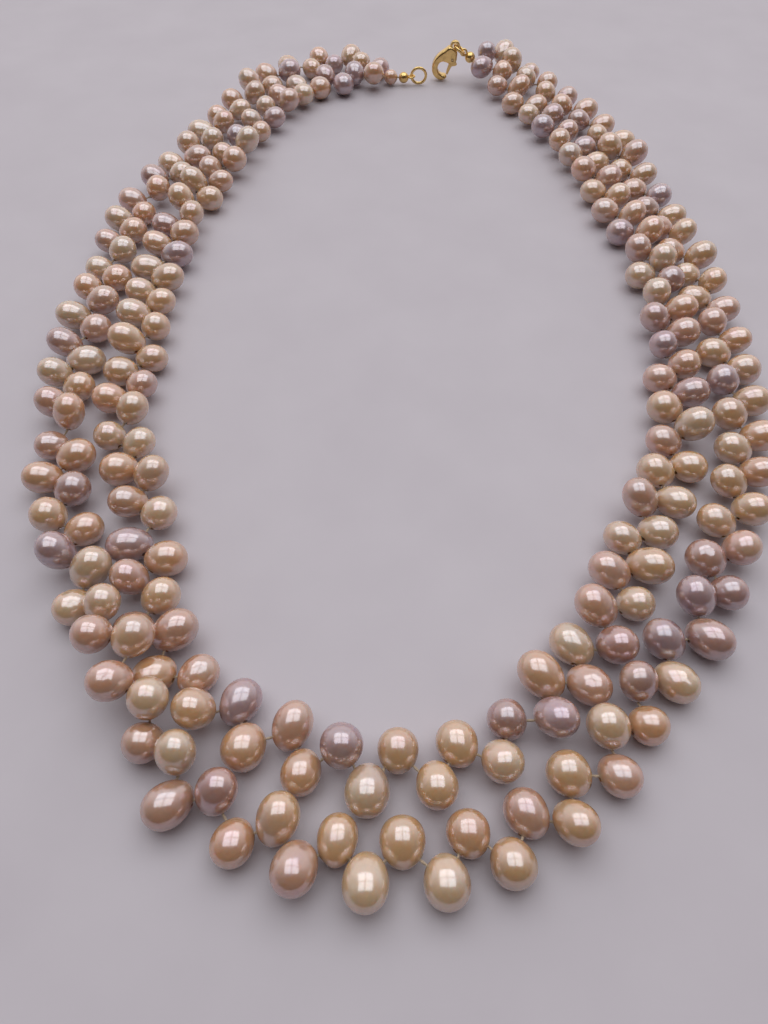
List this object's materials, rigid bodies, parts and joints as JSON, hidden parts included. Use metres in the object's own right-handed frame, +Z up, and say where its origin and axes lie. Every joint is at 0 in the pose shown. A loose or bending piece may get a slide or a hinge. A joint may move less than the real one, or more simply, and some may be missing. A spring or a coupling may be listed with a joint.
{
  "type": "necklace",
  "caption": "Necklace of top-drilled egg-shaped pearls strung side by side and laid open, joined at gold bead tips to a ring and a lobster clasp.",
  "frame": {"origin": "middle of the bounding box, on the surface that the necklace lies on", "axes": "+Z up off the surface; +Y from the middle of the strands (the front) towards the open end with the ring and the clasp; the ring's end is at -X of the clasp's"},
  "size_m": [0.1302, 0.2182, 0.0101],
  "materials": {
    "cream_pearl": "cream pearl nacre, satin to glossy lustre",
    "peach_pearl": "peach, pink and lavender pearl nacre, satin to glossy lustre",
    "silk": "twisted silk thread",
    "gold": "polished yellow gold",
    "steel": "spring wire"
  },
  "bodies": {
    "stretch_01": {"outer_strand_pearls_01": "cream_pearl", "inner_strand_pearls_01": "peach_pearl"},
    "stretch_02": {"outer_strand_pearls_02": "cream_pearl", "inner_strand_pearls_02": "peach_pearl"},
    "stretch_03": {"outer_strand_pearls_03": "cream_pearl", "inner_strand_pearls_03": "peach_pearl"},
    "stretch_04": {"outer_strand_pearls_04": "cream_pearl", "inner_strand_pearls_04": "peach_pearl"},
    "stretch_05": {"outer_strand_pearls_05": "cream_pearl", "inner_strand_pearls_05": "peach_pearl"},
    "stretch_06": {"outer_strand_pearls_06": "cream_pearl", "inner_strand_pearls_06": "peach_pearl"},
    "stretch_07": {"outer_strand_pearls_07": "cream_pearl", "inner_strand_pearls_07": "peach_pearl"},
    "stretch_08": {"outer_strand_pearls_08": "cream_pearl", "inner_strand_pearls_08": "peach_pearl"},
    "stretch_09": {"outer_strand_pearls_09": "cream_pearl", "inner_strand_pearls_09": "peach_pearl"},
    "stretch_10": {"outer_strand_pearls_10": "cream_pearl", "inner_strand_pearls_10": "peach_pearl"},
    "stretch_11": {"outer_strand_pearls_11": "cream_pearl", "inner_strand_pearls_11": "peach_pearl"},
    "stretch_12": {"outer_strand_pearls_12": "cream_pearl", "inner_strand_pearls_12": "peach_pearl"},
    "stretch_13": {"outer_strand_pearls_13": "cream_pearl", "inner_strand_pearls_13": "peach_pearl"},
    "stretch_14": {"outer_strand_pearls_14": "cream_pearl", "inner_strand_pearls_14": "peach_pearl"},
    "stretch_15": {"outer_strand_pearls_15": "cream_pearl", "inner_strand_pearls_15": "peach_pearl"},
    "stretch_16": {"outer_strand_pearls_16": "cream_pearl", "inner_strand_pearls_16": "peach_pearl"},
    "stretch_17": {"outer_strand_pearls_17": "cream_pearl", "inner_strand_pearls_17": "peach_pearl"},
    "stretch_18": {"outer_strand_pearls_18": "cream_pearl", "inner_strand_pearls_18": "peach_pearl"},
    "stretch_19": {"outer_strand_pearls_19": "cream_pearl", "inner_strand_pearls_19": "peach_pearl"},
    "stretch_20": {"outer_strand_pearls_20": "cream_pearl", "inner_strand_pearls_20": "peach_pearl"},
    "stretch_21": {"outer_strand_pearls_21": "cream_pearl", "inner_strand_pearls_21": "peach_pearl"},
    "left_tip": {"left_end_pearl": "cream_pearl", "left_end_thread": "silk", "left_bead_tip": "gold"},
    "left_ring": {"end_ring": "gold"},
    "right_tip": {"right_end_thread": "silk", "right_bead_tip": "gold"},
    "link_ring": {"jump_ring": "gold"},
    "clasp": {"clasp_body": "gold", "clasp_pin": "gold", "clasp_spring": "steel"},
    "trigger": {"clasp_trigger": "gold"}
  },
  "joints": [
    {"name": "bend_sideways_01", "type": "hinge", "parent": "stretch_02", "child": "stretch_01", "pos_m": [-0.02288, 0.09607, 0.00262], "axis": [0, 0, 1], "range_deg": [-3, 4]},
    {"name": "bend_upwards_02", "type": "hinge", "parent": "stretch_03", "child": "stretch_02", "pos_m": [-0.03494, 0.07919, 0.00262], "axis": [0.9149, -0.4037, 0], "range_deg": [0, 12]},
    {"name": "bend_sideways_03", "type": "hinge", "parent": "stretch_04", "child": "stretch_03", "pos_m": [-0.04287, 0.05673, 0.00262], "axis": [0, 0, 1], "range_deg": [-2.5, 4]},
    {"name": "bend_upwards_04", "type": "hinge", "parent": "stretch_05", "child": "stretch_04", "pos_m": [-0.05048, 0.03438, 0.00262], "axis": [0.9748, -0.2231, 0], "range_deg": [0, 12]},
    {"name": "bend_sideways_05", "type": "hinge", "parent": "stretch_06", "child": "stretch_05", "pos_m": [-0.05343, 0.01144, 0.00262], "axis": [0, 0, 1], "range_deg": [-3, 4]},
    {"name": "bend_upwards_06", "type": "hinge", "parent": "stretch_07", "child": "stretch_06", "pos_m": [-0.05351, -0.01225, 0.00262], "axis": [0.9994, 0.0347, 0], "range_deg": [0, 12]},
    {"name": "bend_sideways_07", "type": "hinge", "parent": "stretch_08", "child": "stretch_07", "pos_m": [-0.05174, -0.03548, 0.00262], "axis": [0, 0, 1], "range_deg": [-3, 4]},
    {"name": "bend_upwards_08", "type": "hinge", "parent": "stretch_09", "child": "stretch_08", "pos_m": [-0.04444, -0.05807, 0.00262], "axis": [0.9675, 0.2528, 0], "range_deg": [0, 12]},
    {"name": "bend_sideways_09", "type": "hinge", "parent": "stretch_10", "child": "stretch_09", "pos_m": [-0.03485, -0.07848, 0.00408], "axis": [0, 0, 1], "range_deg": [-2.5, 4]},
    {"name": "bend_upwards_10", "type": "hinge", "parent": "stretch_11", "child": "stretch_10", "pos_m": [-0.01984, -0.0936, 0.00262], "axis": [0.4162, 0.9093, 0], "range_deg": [0, 12]},
    {"name": "bend_sideways_11", "type": "hinge", "parent": "stretch_11", "child": "stretch_12", "pos_m": [0.00102, -0.09808, 0.00262], "axis": [0, 0, 1], "range_deg": [-4, 1.5]},
    {"name": "bend_upwards_12", "type": "hinge", "parent": "stretch_12", "child": "stretch_13", "pos_m": [0.01922, -0.08991, 0.00262], "axis": [0.7095, -0.7047, 0], "range_deg": [0, 12]},
    {"name": "bend_sideways_13", "type": "hinge", "parent": "stretch_13", "child": "stretch_14", "pos_m": [0.03382, -0.07268, 0.00262], "axis": [0, 0, 1], "range_deg": [-2, 1]},
    {"name": "bend_upwards_14", "type": "hinge", "parent": "stretch_14", "child": "stretch_15", "pos_m": [0.04597, -0.05119, 0.00262], "axis": [0.8413, -0.5406, 0], "range_deg": [0, 12]},
    {"name": "bend_sideways_15", "type": "hinge", "parent": "stretch_15", "child": "stretch_16", "pos_m": [0.05257, -0.03043, 0.00262], "axis": [0, 0, 1], "range_deg": [-4, 1]},
    {"name": "bend_upwards_16", "type": "hinge", "parent": "stretch_16", "child": "stretch_17", "pos_m": [0.05535, -0.00646, 0.00262], "axis": [0.9899, -0.1415, 0], "range_deg": [0, 8]},
    {"name": "bend_sideways_17", "type": "hinge", "parent": "stretch_17", "child": "stretch_18", "pos_m": [0.05448, 0.01652, 0.00262], "axis": [0, 0, 1], "range_deg": [-4, 1]},
    {"name": "bend_upwards_18", "type": "hinge", "parent": "stretch_18", "child": "stretch_19", "pos_m": [0.05042, 0.04059, 0.00262], "axis": [0.9965, 0.0836, 0], "range_deg": [0, 12]},
    {"name": "bend_sideways_19", "type": "hinge", "parent": "stretch_19", "child": "stretch_20", "pos_m": [0.04538, 0.06293, 0.00262], "axis": [0, 0, 1], "range_deg": [-4, 1.5]},
    {"name": "bend_upwards_20", "type": "hinge", "parent": "stretch_20", "child": "stretch_21", "pos_m": [0.0355, 0.0848, 0.00262], "axis": [0.9213, 0.3889, 0], "range_deg": [0, 12]},
    {"name": "left_tip_tilt", "type": "hinge", "parent": "stretch_01", "child": "left_tip", "pos_m": [-0.00428, 0.09649, 0.00262], "axis": [0, 1, 0], "range_deg": [-10, 10]},
    {"name": "end_ring_swing", "type": "hinge", "parent": "left_tip", "child": "left_ring", "pos_m": [0.00445, 0.09609, 0.00224], "axis": [-0.1191, 0, 0.9929], "range_deg": [-30, 30]},
    {"name": "right_tip_tilt", "type": "hinge", "parent": "stretch_21", "child": "right_tip", "pos_m": [0.02332, 0.09909, 0.00502], "axis": [0, 1, 0], "range_deg": [-10, 10]},
    {"name": "jump_ring_swing", "type": "hinge", "parent": "right_tip", "child": "link_ring", "pos_m": [0.01845, 0.09909, 0.00711], "axis": [0, 1, 0], "range_deg": [-20, 20]},
    {"name": "clasp_swing", "type": "hinge", "parent": "link_ring", "child": "clasp", "pos_m": [0.01599, 0.09909, 0.00882], "axis": [0, 1, 0], "range_deg": [-12, 20]},
    {"name": "trigger_press", "type": "hinge", "parent": "clasp", "child": "trigger", "pos_m": [0.01544, 0.09909, 0.00556], "axis": [0, 1, 0], "range_deg": [0, 14], "stiffness_Nm_per_rad": 0.00002, "springref_deg": -17.19}
  ]
}
